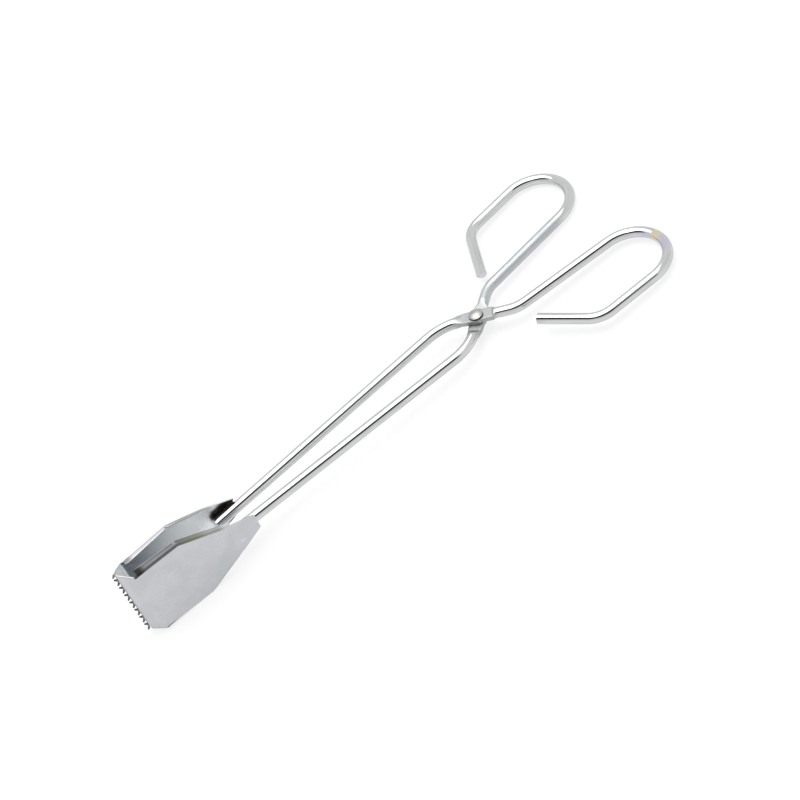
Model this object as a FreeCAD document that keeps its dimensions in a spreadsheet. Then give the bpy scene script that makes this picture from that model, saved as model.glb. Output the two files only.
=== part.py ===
# Scissor tongs of bent round wire, with folded sheet jaws whose toothed lips mesh when closed.
# Millimetres. X runs from the finger loops to the jaws, Z is the pivot axis, Y is across the arms.
# The two arms are bent to one pattern: the top arm is the bottom one turned over about X.

import FreeCAD, Part
import math
import os
import Sketcher
from FreeCAD import Placement, Rotation, Vector

doc = FreeCAD.newDocument("scissor_tongs")

# ------------------------------------------------------------------ driving dimensions

dimension_list = [
    ("wire_radius", 3.175, "quarter inch rod"),
    # centreline of an arm, from the pivot out to the jaw and back round the finger loop
    ("lap_angle", 37.3, "flat's direction from X, degrees"),
    ("jaw_angle", 2.33, "long shank's slope in towards the centre, degrees"),
    ("lap_to_shank", 8.8, "straight, pivot to shank bend"),
    ("shank_bend", 31.9, "radius"),
    ("shank_length", 157.5, "straight, bend to wire end"),
    ("lap_to_handle", 19.0, "straight, pivot to handle bend"),
    ("handle_bend", 17.1, "radius"),
    ("loop_radius", 21.3, "radius round the end of the loop"),
    ("finger_bend", 15.8, "radius"),
    ("top_handle_angle", 5.4, "degrees from X"),
    ("top_handle_length", 58.6, "straight outer side of the loop"),
    ("top_loop_turn", 176.6, "degrees"),
    ("top_return_length", 30.4, "straight inner side of the loop"),
    ("top_finger_turn", 53.6, "degrees"),
    ("top_tail_length", 28.9, "straight free end"),
    ("bottom_handle_angle", 6.7, "degrees from X"),
    ("bottom_handle_length", 58.0, "straight outer side of the loop"),
    ("bottom_loop_turn", 179.4, "degrees"),
    ("bottom_return_length", 26.3, "straight inner side of the loop"),
    ("bottom_finger_turn", 56.3, "degrees"),
    ("bottom_tail_length", 29.4, "straight free end"),
    # flattened lap at the pivot
    ("lap_thickness", 2.8, "stamped flat"),
    ("lap_gap", 0.1, "running gap between the two flats"),
    ("lap_half_length", 9.8, "pivot to shoulder"),
    ("lap_half_width", 4.1, "flat beside the eye"),
    ("eye_radius", 4.8, "flat round the rivet"),
    ("axis_offset", 1.05, "wire axis above or below the lap plane"),
    ("overcut", 1.0, "stamps and cutters reach this far past the metal"),
    ("shoulder_angle", 36.0, "slope of the stamped shoulder, degrees"),
    ("lap_taper", 2.3, "length over which the flat's edges draw in to the rod"),
    ("lap_taper_depth", 1.3, "how far they draw in"),
    # rivet
    ("shank_radius", 2.0, "rivet shank"),
    ("pivot_clearance", 0.05, "radial, shank in the moving arm"),
    ("head_radius", 4.5, "domed head"),
    ("head_height", 2.3, "domed head"),
    ("tail_radius", 3.8, "closed head underneath"),
    ("tail_height", 1.5, "closed head underneath"),
    ("shank_sink", 0.5, "shank runs this far into its heads"),
    # jaw, measured along the wire from the jaw's back edge
    ("sheet", 0.8, "sheet thickness"),
    ("wire_grip", 16.0, "wire inside the jaw"),
    ("crease", 16.5, "trough becomes flat plate"),
    ("kink_up", 42.0, "taper becomes straight, upper side"),
    ("kink_low", 39.0, "taper becomes straight, lower side"),
    ("fold", 70.2, "plate folds into the lip"),
    ("crease_half", 12.0, "half width at the crease"),
    ("kink_up_half", 23.4, "half width at the kink, upper side"),
    ("kink_low_half", 21.0, "half width at the kink, lower side"),
    ("fold_up_half", 23.7, "half width at the fold, upper side"),
    ("fold_low_half", 21.2, "half width at the fold, lower side"),
    ("lip_half", 23.8, "half width at the teeth"),
    ("lip_rise", 2.4, "both lips' middle above the plane between the arms"),
    ("lip_angle", 43.0, "lip from the plate, degrees"),
    ("lip_length", 10.1, "fold to the plane where the lips meet"),
    ("rim_front", 3.8, "side rim depth at the lip"),
    ("rim_back", 1.6, "side rim depth at the crease"),
    ("rim_gap", 0.8, "rim stops short of the lip"),
    ("rim_thick_back", 0.9, "rim thickness across the crease"),
    ("mouth_half", 5.0, "half width of the trough's mouth"),
    ("top_mouth_out", 1.2, "mouth's edges from the wire's axis, towards the plate"),
    ("bottom_mouth_out", 3.0, "the same, this jaw is curled less"),
    ("top_mouth_back", -0.4, "mouth behind the plate's own back line"),
    ("bottom_mouth_back", 1.2, "mouth behind the plate's own back line"),
    ("tooth_pitch", 6.6, "between teeth of one jaw"),
    ("tooth_root", 2.6, "tooth width at its root"),
    ("tooth_tip", 0.6, "tooth width at its tip"),
    ("root_setback", 1.3, "valley before the plane where the lips meet"),
    ("tip_reach", 1.7, "tip beyond the plane where the lips meet"),
]

sheet = doc.addObject("Spreadsheet::Sheet", "dims")
for row, (alias, value, note) in enumerate(dimension_list, start=1):
    sheet.set("A%d" % row, str(value))
    sheet.setAlias("A%d" % row, alias)
    sheet.set("B%d" % row, note)
doc.recompute()


def dim(alias):
    return float(sheet.get(alias))


# ------------------------------------------------------------------ sketch helpers

def new_body(name):
    body = doc.addObject("PartDesign::Body", name)
    body.Label = name
    return body


def new_sketch(body, name, plane, shift=None):
    """Sketch on one of the body's origin planes; shift is an expression along the plane's normal."""
    sketch = body.newObject("Sketcher::SketchObject", body.Name + "_" + name)
    origin = [f for f in body.Origin.OriginFeatures if f.Role == plane][0]
    sketch.AttachmentSupport = [(origin, "")]
    sketch.MapMode = "FlatFace"
    if shift is not None:
        sketch.setExpression("AttachmentOffset.Base.z", shift)
    doc.recompute()
    return sketch


def bind(sketch, constraint, expression):
    index = sketch.addConstraint(constraint)
    sketch.setExpression("Constraints[%d]" % index, expression)


def draw_outline(sketch, corners):
    """Closed outline of straight lines; each corner is a pair of expressions."""
    points = [Vector(sketch.evalExpression(u), sketch.evalExpression(v), 0) for u, v in corners]
    first = sketch.GeometryCount
    for i, point in enumerate(points):
        sketch.addGeometry(Part.LineSegment(point, points[(i + 1) % len(points)]), False)
    for i, (u, v) in enumerate(corners):
        line = first + i
        after = first + (i + 1) % len(points)
        sketch.addConstraint(Sketcher.Constraint("Coincident", line, 2, after, 1))
        bind(sketch, Sketcher.Constraint("DistanceX", -1, 1, line, 1, points[i].x), u)
        bind(sketch, Sketcher.Constraint("DistanceY", -1, 1, line, 1, points[i].y), v)


def draw_circle(sketch, radius):
    circle = Part.Circle(Vector(0, 0, 0), Vector(0, 0, 1), sketch.evalExpression(radius))
    index = sketch.addGeometry(circle, False)
    sketch.addConstraint(Sketcher.Constraint("Coincident", index, 3, -1, 1))
    bind(sketch, Sketcher.Constraint("Radius", index, sketch.evalExpression(radius)), radius)


def extrude(body, kind, sketch, length, both_ways=False, reverse=False):
    feature = body.newObject("PartDesign::" + kind, sketch.Name + "_" + kind.lower())
    feature.Profile = sketch
    feature.setExpression("Length", length)
    if both_ways:
        feature.SideType = "Symmetric"
    feature.Reversed = reverse
    doc.recompute()
    return feature


# ------------------------------------------------------------------ arms

def draw_run(sketch, steps, heading):
    """Straights and tangent arcs one after another, out from the pivot along X.
    A step is ("line", length) or ("arc", radius, turn); turn is degrees, left is positive."""
    point = Vector(0, 0, 0)
    last = None
    angle = heading
    for step in steps:
        size = sketch.evalExpression(step[1])
        along = Vector(math.cos(math.radians(angle)), math.sin(math.radians(angle)), 0)
        if step[0] == "line":
            index = sketch.addGeometry(Part.LineSegment(point, point + along * size), False)
            ends = (1, 2)
            point = point + along * size
            bind(sketch, Sketcher.Constraint("Distance", index, size), step[1])
        else:
            turn = sketch.evalExpression(step[2])
            side = 1 if turn > 0 else -1
            left = Vector(-along.y, along.x, 0)
            centre = point + left * (side * size)
            start = math.radians(angle - 90 * side)
            stop = start + math.radians(turn)
            circle = Part.Circle(centre, Vector(0, 0, 1), size)
            arc = Part.ArcOfCircle(circle, min(start, stop), max(start, stop))
            index = sketch.addGeometry(arc, False)
            ends = (1, 2) if side > 0 else (2, 1)
            angle += turn
            point = centre + Vector(math.cos(stop), math.sin(stop), 0) * size
            bind(sketch, Sketcher.Constraint("Radius", index, size), step[1])
        if last is None:
            sketch.addConstraint(Sketcher.Constraint("Coincident", index, ends[0], -1, 1))
            sketch.addConstraint(Sketcher.Constraint("Horizontal", index))
        else:
            sketch.addConstraint(Sketcher.Constraint("Tangent", last[0], last[1], index, ends[0]))
        if step[0] == "line" and last is not None:
            radians = math.radians(math.remainder(angle, 360))
            bind(sketch, Sketcher.Constraint("Angle", index, radians), step[2])
        last = (index, ends[1])


def shank_steps():
    return [
        ("line", "dims.lap_to_shank"),
        ("arc", "dims.shank_bend", "-dims.lap_angle - dims.jaw_angle"),
        ("line", "dims.shank_length", "-dims.lap_angle - dims.jaw_angle"),
    ]


def handle_steps(side):
    handle = "180 - dims.lap_angle + dims.%s_handle_angle" % side
    inner = "-180 - dims.lap_angle + dims.%s_handle_angle + dims.%s_loop_turn" % (side, side)
    tail = inner + " + dims.%s_finger_turn" % side
    return [
        ("line", "dims.lap_to_handle"),
        ("arc", "dims.handle_bend", "dims.%s_handle_angle - dims.lap_angle" % side),
        ("line", "dims.%s_handle_length" % side, handle),
        ("arc", "dims.loop_radius", "dims.%s_loop_turn" % side),
        ("line", "dims.%s_return_length" % side, inner),
        ("arc", "dims.finger_bend", "dims.%s_finger_turn" % side),
        ("line", "dims.%s_tail_length" % side, tail),
    ]


def sweep_wire(body, name, steps, heading):
    path = new_sketch(body, name + "_line", "XY_Plane")
    draw_run(path, steps, heading)
    section = new_sketch(body, name + "_round", "YZ_Plane")
    draw_circle(section, "dims.wire_radius")
    doc.recompute()
    pipe = body.newObject("PartDesign::AdditivePipe", body.Name + "_" + name + "_wire")
    pipe.Profile = section
    pipe.Spine = (path, ["Edge%d" % (i + 1) for i in range(len(steps))])
    doc.recompute()


def make_arm(side):
    """Wire swept out both ways from the pivot, stamped flat and drilled there.
    Drawn with the flat along X, its mating face up, and the wire's axis at Z 0."""
    body = new_body(side + "_arm")
    sweep_wire(body, "shank", shank_steps(), 0)
    sweep_wire(body, "handle", handle_steps(side), 180)

    face = "(dims.axis_offset - dims.lap_gap / 2)"
    back = "(dims.axis_offset - dims.lap_gap / 2 - dims.lap_thickness)"
    outside = "(dims.wire_radius + dims.overcut)"
    for name, level, edge in (("face", face, outside), ("back", back, "-" + outside)):
        stamp = new_sketch(body, name + "_stamp", "XZ_Plane")
        reach = "dims.lap_half_length"
        slope = "(dims.lap_half_length + abs(%s - %s) / tan(dims.shoulder_angle * 1 deg))"
        slope = slope % (edge, level)
        draw_outline(stamp, [("-" + reach, level), (reach, level), (slope, edge), ("-" + slope, edge)])
        extrude(body, "Pocket", stamp, "6 * dims.wire_radius", both_ways=True)

    flat = new_sketch(body, "flat", "XY_Plane", back)
    end = "(dims.lap_half_length + dims.lap_taper / 2)"
    full = "(dims.lap_half_length - dims.lap_taper / 2)"
    wide = "dims.lap_half_width"
    narrow = "(dims.lap_half_width - dims.lap_taper_depth)"
    right = [(end, "-" + narrow), (end, narrow), (full, wide)]
    left = [("-" + full, wide), ("-" + end, narrow), ("-" + end, "-" + narrow)]
    draw_outline(flat, right + left + [("-" + full, "-" + wide), (full, "-" + wide)])
    extrude(body, "Pad", flat, "dims.lap_thickness")

    eye = new_sketch(body, "eye", "XY_Plane", back)
    draw_circle(eye, "dims.eye_radius")
    extrude(body, "Pad", eye, "dims.lap_thickness")

    hole = new_sketch(body, "hole", "XY_Plane")
    clearance = " + dims.pivot_clearance" if side == "bottom" else ""
    draw_circle(hole, "dims.shank_radius" + clearance)
    extrude(body, "Pocket", hole, "6 * dims.wire_radius", both_ways=True)
    return body


# ------------------------------------------------------------------ jaws

OUTER = "(dims.wire_radius + dims.sheet)"


def add_plate(body):
    plate = new_sketch(body, "plate", "XZ_Plane", "-" + OUTER)
    draw_outline(plate, [
        ("dims.crease", "dims.crease_half"),
        ("dims.kink_up", "dims.kink_up_half"),
        ("dims.fold", "dims.fold_up_half"),
        ("dims.fold", "-dims.fold_low_half"),
        ("dims.kink_low", "-dims.kink_low_half"),
        ("dims.crease", "-dims.crease_half"),
    ])
    extrude(body, "Pad", plate, "dims.sheet")


def add_rims(body):
    """Both sides folded in square to the plate, deepest at the lip."""
    rims = new_sketch(body, "rims", "XZ_Plane", "-" + OUTER)
    front = "(dims.fold - dims.rim_gap)"
    for sign, edge in (("", "up"), ("-", "low")):
        kink, fold = "dims.kink_" + edge, "dims.fold_" + edge
        draw_outline(rims, [
            ("dims.crease", sign + "dims.crease_half"),
            (kink, sign + kink + "_half"),
            (front, sign + fold + "_half"),
            (front, sign + "(%s_half - dims.sheet)" % fold),
            (kink, sign + "(%s_half - dims.sheet)" % kink),
            ("dims.crease", sign + "(dims.crease_half - dims.rim_thick_back)"),
        ])
    extrude(body, "Pad", rims, "dims.rim_front")
    taper = new_sketch(body, "taper", "XY_Plane")
    draw_outline(taper, [
        ("dims.crease - dims.overcut", OUTER + " - dims.rim_back"),
        ("dims.kink_up", OUTER + " - (dims.rim_front + dims.rim_back) / 2"),
        (front, OUTER + " - dims.rim_front"),
        (front, OUTER + " - dims.rim_front - dims.overcut"),
        ("dims.crease - dims.overcut", OUTER + " - dims.rim_front - dims.overcut"),
    ])
    extrude(body, "Pocket", taper, "3 * dims.fold_up_half", both_ways=True)


def add_lip(body, side, tooth_count):
    """Toothed lip in its own plane, hinged inwards about the plate's front edge."""
    lip = new_sketch(body, "lip", "XZ_Plane")
    lip.AttachmentOffset = Placement(Vector(0, 0, 0), Rotation(Vector(0, 1, 0), -1))
    lip.setExpression("AttachmentOffset.Base.x", "dims.fold")
    lip.setExpression("AttachmentOffset.Base.z", "-" + OUTER)
    lip.setExpression("AttachmentOffset.Rotation.Angle", "-dims.lip_angle")
    doc.recompute()
    root = "(dims.lip_length - dims.root_setback)"
    tip = "(dims.lip_length + dims.tip_reach)"
    centre = "dims.axis_offset %s dims.lip_rise" % ("-" if side == "top" else "+")
    corners = [("0", "-dims.fold_low_half"), (root, "(%s - dims.lip_half)" % centre)]
    for tooth in range(tooth_count):
        middle = "(%s + %.1f * dims.tooth_pitch)" % (centre, tooth - (tooth_count - 1) / 2)
        corners.append((root, middle + " - dims.tooth_root / 2"))
        corners.append((tip, middle + " - dims.tooth_tip / 2"))
        corners.append((tip, middle + " + dims.tooth_tip / 2"))
        corners.append((root, middle + " + dims.tooth_root / 2"))
    corners += [(root, "(%s + dims.lip_half)" % centre), ("0", "dims.fold_up_half")]
    draw_outline(lip, corners)
    extrude(body, "Pad", lip, "dims.sheet")


def add_trough(body, side):
    """Sheet curled round the outer side of the wire, opening out flat into the plate."""
    back = new_sketch(body, "mouth", "YZ_Plane", "-dims.%s_mouth_back" % side)
    flat = new_sketch(body, "spread", "YZ_Plane", "dims.crease")
    middle = "dims.wire_radius"
    inner = dim("wire_radius")
    outer = inner + dim("sheet")
    mouth = Vector(dim(side + "_mouth_out"), dim("mouth_half"), 0)
    lean = math.atan2(mouth.y, mouth.x) - math.acos(outer / mouth.Length)  # the flare leaves the curl here
    thick = Vector(math.cos(lean), math.sin(lean), 0) * -dim("sheet")

    def bow(radius):
        turned = [Vector(radius * math.cos(a), radius * math.sin(a), 0) for a in (lean, 0, -lean)]
        return Part.Arc(*turned), turned[0], turned[2]

    def flip(point):
        return Vector(point.x, -point.y, 0)

    outside, out_top, out_low = bow(outer)
    inside, in_top, in_low = bow(inner)
    lines = [
        Part.LineSegment(mouth, out_top), outside, Part.LineSegment(out_low, flip(mouth)),
        Part.LineSegment(flip(mouth), flip(mouth + thick)),
        Part.LineSegment(flip(mouth + thick), in_low), inside,
        Part.LineSegment(in_top, mouth + thick), Part.LineSegment(mouth + thick, mouth),
    ]
    for line in lines:
        back.addGeometry(line, False)
    wide = "dims.crease_half"
    part = "dims.crease_half / 2"
    draw_outline(flat, [
        (OUTER, wide), (OUTER, part), (OUTER, "-" + part), (OUTER, "-" + wide),
        (middle, "-" + wide), (middle, "-" + part), (middle, part), (middle, wide),
    ])
    doc.recompute()
    loft = body.newObject("PartDesign::AdditiveLoft", body.Name + "_trough")
    loft.Profile = back
    loft.Sections = [flat]
    loft.Ruled = True
    doc.recompute()


def make_jaw(side, tooth_count):
    """One sheet blank, drawn with the wire's axis along X and the plate on the +Y side."""
    body = new_body(side + "_arm_jaw")
    add_plate(body)
    add_rims(body)
    add_lip(body, side, tooth_count)
    add_trough(body, side)
    return body


# ------------------------------------------------------------------ rivet

def add_cap(name, radius, height, level, up):
    """Low dome: the part of a ball that stands above (or hangs below) a flat."""
    cap = doc.addObject("Part::Sphere", name)
    ball = "(({0})^2 + ({1})^2) / (2 * {1})".format(radius, height)
    cap.setExpression("Radius", ball)
    latitude = "asin(1 - {1} / ({0}))".format(ball, height)
    cap.setExpression("Angle1" if up else "Angle2", latitude if up else "-" + latitude)
    sink = "({0} - {1})".format(ball, height)
    cap.setExpression("Placement.Base.z", "%s %s %s" % (level, "-" if up else "+", sink))
    return cap


def make_rivet():
    top = "(dims.lap_gap / 2 + dims.lap_thickness)"
    low = "(-dims.lap_gap / 2 - dims.lap_thickness - dims.lap_gap)"
    shank = doc.addObject("Part::Cylinder", "rivet_shank")
    shank.setExpression("Radius", "dims.shank_radius")
    shank.setExpression("Height", "%s - %s + 2 * dims.shank_sink" % (top, low))
    shank.setExpression("Placement.Base.z", low + " - dims.shank_sink")
    head = add_cap("rivet_head", "dims.head_radius", "dims.head_height", top, True)
    tail = add_cap("rivet_tail", "dims.tail_radius", "dims.tail_height", low, False)
    rivet = doc.addObject("Part::MultiFuse", "pivot_rivet")
    rivet.Label = "pivot_rivet"
    rivet.Shapes = [shank, head, tail]
    doc.recompute()
    return rivet


# ------------------------------------------------------------------ assembly

bottom_arm = make_arm("bottom")
top_arm = make_arm("top")
bottom_jaw = make_jaw("bottom", 7)
top_jaw = make_jaw("top", 8)
rivet = make_rivet()

# the jaw sits on the last of the wire: its place follows from the shank's bend
lap = math.radians(dim("lap_angle"))
slope = math.radians(dim("jaw_angle"))
bend_centre = Vector(math.cos(lap), math.sin(lap), 0) * dim("lap_to_shank")
bend_centre += Vector(math.sin(lap), -math.cos(lap), 0) * dim("shank_bend")
shank_start = bend_centre + Vector(math.sin(slope), math.cos(slope), 0) * dim("shank_bend")
inward = Vector(math.cos(slope), -math.sin(slope), 0)
jaw_back = shank_start + inward * (dim("shank_length") - dim("wire_grip"))

arm_place = Placement(Vector(0, 0, -dim("axis_offset")), Rotation(Vector(0, 0, 1), dim("lap_angle")))
jaw_place = Placement(jaw_back, Rotation(Vector(0, 0, 1), -dim("jaw_angle")))
jaw_place = Placement(Vector(0, 0, -dim("axis_offset")), Rotation()) * jaw_place
turned_over = Placement(Vector(0, 0, 0), Rotation(Vector(1, 0, 0), 180))

bottom_arm.Placement = arm_place
bottom_jaw.Placement = jaw_place
top_arm.Placement = turned_over * arm_place
top_jaw.Placement = turned_over * jaw_place
doc.recompute()

pieces = [top_arm, bottom_arm, top_jaw, bottom_jaw, rivet]

# origin: middle of the plan, at the height of the lowest edge
box = FreeCAD.BoundBox()
for piece in pieces:
    box.add(piece.Shape.optimalBoundingBox())
to_origin = Vector(-box.Center.x, -box.Center.y, -box.ZMin)
for piece in pieces:
    piece.Placement.Base = piece.Placement.Base + to_origin
doc.recompute()

# ------------------------------------------------------------------ checks and export

for item in doc.Objects:
    if "Invalid" in item.State or "Error" in item.State:
        raise RuntimeError("%s did not compute: %s" % (item.Name, item.State))
os.makedirs("parts", exist_ok=True)
for piece in pieces:
    shape = piece.Shape
    if shape.isNull() or not shape.isValid() or len(shape.Solids) != 1:
        raise RuntimeError("%s is not one valid solid" % piece.Label)
    shape.exportStep("parts/%s.step" % piece.Label)
    print("%-16s %8.1f mm3" % (piece.Label, shape.Volume))
print("size %.1f x %.1f x %.1f" % (box.XLength, box.YLength, box.ZLength))
print("pivot at %.3f %.3f %.3f" % tuple(to_origin))
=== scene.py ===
# Scissor tongs of bent plated rod with folded sheet jaws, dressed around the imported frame.
import math
import bpy
from mathutils import Matrix, Vector


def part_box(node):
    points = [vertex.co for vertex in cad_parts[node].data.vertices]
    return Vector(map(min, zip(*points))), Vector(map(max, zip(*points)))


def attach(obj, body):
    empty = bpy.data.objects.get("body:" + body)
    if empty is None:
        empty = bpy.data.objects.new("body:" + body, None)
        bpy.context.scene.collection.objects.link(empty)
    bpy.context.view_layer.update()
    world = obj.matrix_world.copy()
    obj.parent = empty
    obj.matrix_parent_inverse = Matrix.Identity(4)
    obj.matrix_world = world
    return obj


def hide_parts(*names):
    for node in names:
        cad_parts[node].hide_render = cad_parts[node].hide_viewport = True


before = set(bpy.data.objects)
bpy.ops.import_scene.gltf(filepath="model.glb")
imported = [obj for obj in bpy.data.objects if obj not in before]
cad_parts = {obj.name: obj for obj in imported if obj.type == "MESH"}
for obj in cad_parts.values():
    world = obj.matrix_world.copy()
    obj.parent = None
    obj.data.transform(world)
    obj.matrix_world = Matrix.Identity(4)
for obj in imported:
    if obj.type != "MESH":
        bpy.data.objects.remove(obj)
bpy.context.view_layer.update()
scene = bpy.context.scene
mm = 0.001
print("frame loaded:", sorted(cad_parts))


class Signal:  # one socket, so that maths on it reads as an expression
    def __init__(self, bench, socket):
        self.bench = bench
        self.socket = socket

    def __add__(self, other):
        return self.bench.math("ADD", self, other)

    def __radd__(self, other):
        return self.bench.math("ADD", other, self)

    def __sub__(self, other):
        return self.bench.math("SUBTRACT", self, other)

    def __rsub__(self, other):
        return self.bench.math("SUBTRACT", other, self)

    def __mul__(self, other):
        return self.bench.math("MULTIPLY", self, other)

    def __rmul__(self, other):
        return self.bench.math("MULTIPLY", other, self)

    def __truediv__(self, other):
        return self.bench.math("DIVIDE", self, other)

    def __rtruediv__(self, other):
        return self.bench.math("DIVIDE", other, self)

    def __pow__(self, other):
        return self.bench.math("POWER", self, other)

    def __abs__(self):
        return self.bench.math("ABSOLUTE", self)


class Bench:  # a node tree and the few ways of adding to it
    def __init__(self, tree):
        self.tree = tree

    def plug(self, socket, value):
        if isinstance(value, Signal):
            self.tree.links.new(value.socket, socket)
        else:
            socket.default_value = value

    def add(self, kind, settings=None, inputs=None, output=0):
        node = self.tree.nodes.new(kind)
        for name, value in (settings or {}).items():
            if name == "stops":
                while len(node.color_ramp.elements) < len(value):
                    node.color_ramp.elements.new(0.5)
                for element, (place, colour) in zip(node.color_ramp.elements, value):
                    element.position = place
                    element.color = colour
            else:
                setattr(node, name, value)
        for name, value in (inputs or {}).items():
            self.plug(node.inputs[name], value)
        return Signal(self, node.outputs[output]) if len(node.outputs) else None

    def more(self, signal, output):  # another output of the same node
        return Signal(self, signal.socket.node.outputs[output])

    def math(self, operation, *values):
        return self.add("ShaderNodeMath", {"operation": operation}, dict(enumerate(values)))

    def clamp(self, value):
        return self.add("ShaderNodeClamp", {}, {"Value": value})

    def ramp(self, value, low, high):  # 0 below low, 1 above high, smooth between
        settings = {"interpolation_type": "SMOOTHSTEP"}
        return self.add("ShaderNodeMapRange", settings, {"Value": value, "From Min": low, "From Max": high})

    def bump(self, value, low, high):  # 1 between low and high, falling off softly outside
        soft = (high - low) * 0.35
        return self.ramp(value, low - soft, low + soft) * (1 - self.ramp(value, high - soft, high + soft))

    def split(self, vector):
        first = self.add("ShaderNodeSeparateXYZ", {}, {0: vector})
        return first, self.more(first, 1), self.more(first, 2)

    def join(self, x, y, z):
        return self.add("ShaderNodeCombineXYZ", {}, {0: x, 1: y, 2: z})

    def scaled(self, vector, factors):
        return self.add("ShaderNodeVectorMath", {"operation": "MULTIPLY"}, {0: vector, 1: factors})

    def blend(self, factor, first, second, how="MIX"):
        settings = {"data_type": "RGBA", "blend_type": how}
        return self.add("ShaderNodeMix", settings, {0: factor, 6: first, 7: second}, 2)

    def noise(self, vector, scale, detail=3.0, rough=0.55):
        inputs = {"Vector": vector, "Scale": scale, "Detail": detail, "Roughness": rough}
        return self.add("ShaderNodeTexNoise", {}, inputs)

    def relief(self, shader, height, depth, strength=1.0):
        inputs = {"Height": height, "Distance": depth, "Strength": strength}
        self.plug(shader.inputs["Normal"], self.add("ShaderNodeBump", {}, inputs))

    def nearLine(self, x, y, start, end, width):  # 1 on the line from start to end, 0 a width away
        runX, runY = end[0] - start[0], end[1] - start[1]
        long = math.hypot(runX, runY)
        along = ((x - start[0]) * (runX / long) + (y - start[1]) * (runY / long)) / long
        aside = (x - start[0]) * (-runY / long) + (y - start[1]) * (runX / long)
        reach = self.ramp(along, -0.06, 0.06) * (1 - self.ramp(along, 0.94, 1.06))
        return (1 - self.ramp(abs(aside), width * 0.35, width)) * reach


def newFinish(name):
    finish = bpy.data.materials.new(name)
    finish.use_nodes = True
    finish.node_tree.nodes.clear()
    bench = Bench(finish.node_tree)
    surface = bench.add("ShaderNodeBsdfPrincipled")
    bench.add("ShaderNodeOutputMaterial", {}, {"Surface": surface})
    return finish, bench, surface.socket.node


rodLook = {
    "plate": (0.585, 0.59, 0.59, 1),
    "cloud": (0.51, 0.525, 0.53, 1),
    "rubbed": (0.445, 0.47, 0.485, 1),
    "dieLine": (0.42, 0.43, 0.45, 1),
    "stamped": (0.355, 0.358, 0.36, 1),
    "straw": (0.78, 0.60, 0.26, 1),
    "violet": (0.52, 0.46, 0.68, 1),
    "rough": 0.05,
    "stampedRough": 0.40,
    "rubbedRough": 0.32,
    "grainDepth": 0.02,  # mm
    "grainStrength": 0.35,
    "tintAt": (-172.3, 42.5, 25.4),  # mm, heat tint on the top arm's loop
    "tintSize": 12.0,
    "wornFrom": (-78.0, -5.0),  # mm, the bottom arm's handle is rubbed dull from here
    "wornTo": (-150.0, -22.0),
    "wornWidth": 9.0,
}


def makeRodFinish(look):
    finish, b, shader = newFinish("platedRod")
    place = b.add("ShaderNodeAttribute", {"attribute_name": "rodPlace"}, {}, "Vector")
    stamped = b.add("ShaderNodeAttribute", {"attribute_name": "stamped"}, {}, "Fac")
    where = b.add("ShaderNodeTexCoord", {}, {}, "Object")
    cloud = b.noise(b.scaled(place, (0.35, 0.35, 0.05)), 1.0, 4.0)
    drawn = b.noise(b.scaled(place, (3.0, 3.0, 0.035)), 1.0, 3.0, 0.6)  # die lines along the rod
    speck = b.noise(where, 2600.0, 2.0)
    planX, planY = b.split(where)[:2]
    start, stop = [v * mm for v in look["wornFrom"]], [v * mm for v in look["wornTo"]]
    worn = b.nearLine(planX, planY, start, stop, look["wornWidth"] * mm)
    tone = b.blend(b.ramp(cloud, 0.42, 0.66), look["plate"], look["cloud"])
    tone = b.blend(worn * 0.85, tone, look["rubbed"])
    tone = b.blend(b.ramp(drawn, 0.60, 0.72) * 0.25, tone, look["dieLine"])
    tone = b.blend(stamped * (0.75 + 0.25 * b.ramp(speck, 0.40, 0.66)), tone, look["stamped"])
    size = look["tintSize"] * mm
    spot = b.add("ShaderNodeVectorMath", {"operation": "DISTANCE"},
                 {0: where, 1: [v * mm for v in look["tintAt"]]}, "Value")
    tone = b.blend((1 - b.ramp(spot, size * 0.1, size * 0.4)) * 0.5, tone, look["straw"])
    tone = b.blend(b.bump(spot, size * 0.45, size * 1.1) * 0.35, tone, look["violet"])
    b.plug(shader.inputs["Base Color"], tone)
    dull = look["rough"] + 0.05 * b.ramp(cloud, 0.45, 0.7) + 0.04 * b.ramp(drawn, 0.5, 0.75)
    dull = dull + worn * (look["rubbedRough"] + 0.08 * b.ramp(cloud, 0.4, 0.6)) * (1 - stamped)
    b.plug(shader.inputs["Roughness"], dull + stamped * look["stampedRough"])
    height = drawn * 0.5 + stamped * b.noise(where, 900.0, 3.0) * 1.5
    b.relief(shader, height, look["grainDepth"] * mm, look["grainStrength"])
    shader.inputs["Metallic"].default_value = 1.0
    return finish


pressLines = [((16.3, -11.0), (17.2, -1.0)), ((21.4, -6.7), (16.6, 2.9))]  # (along, across) the jaw, mm

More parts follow.
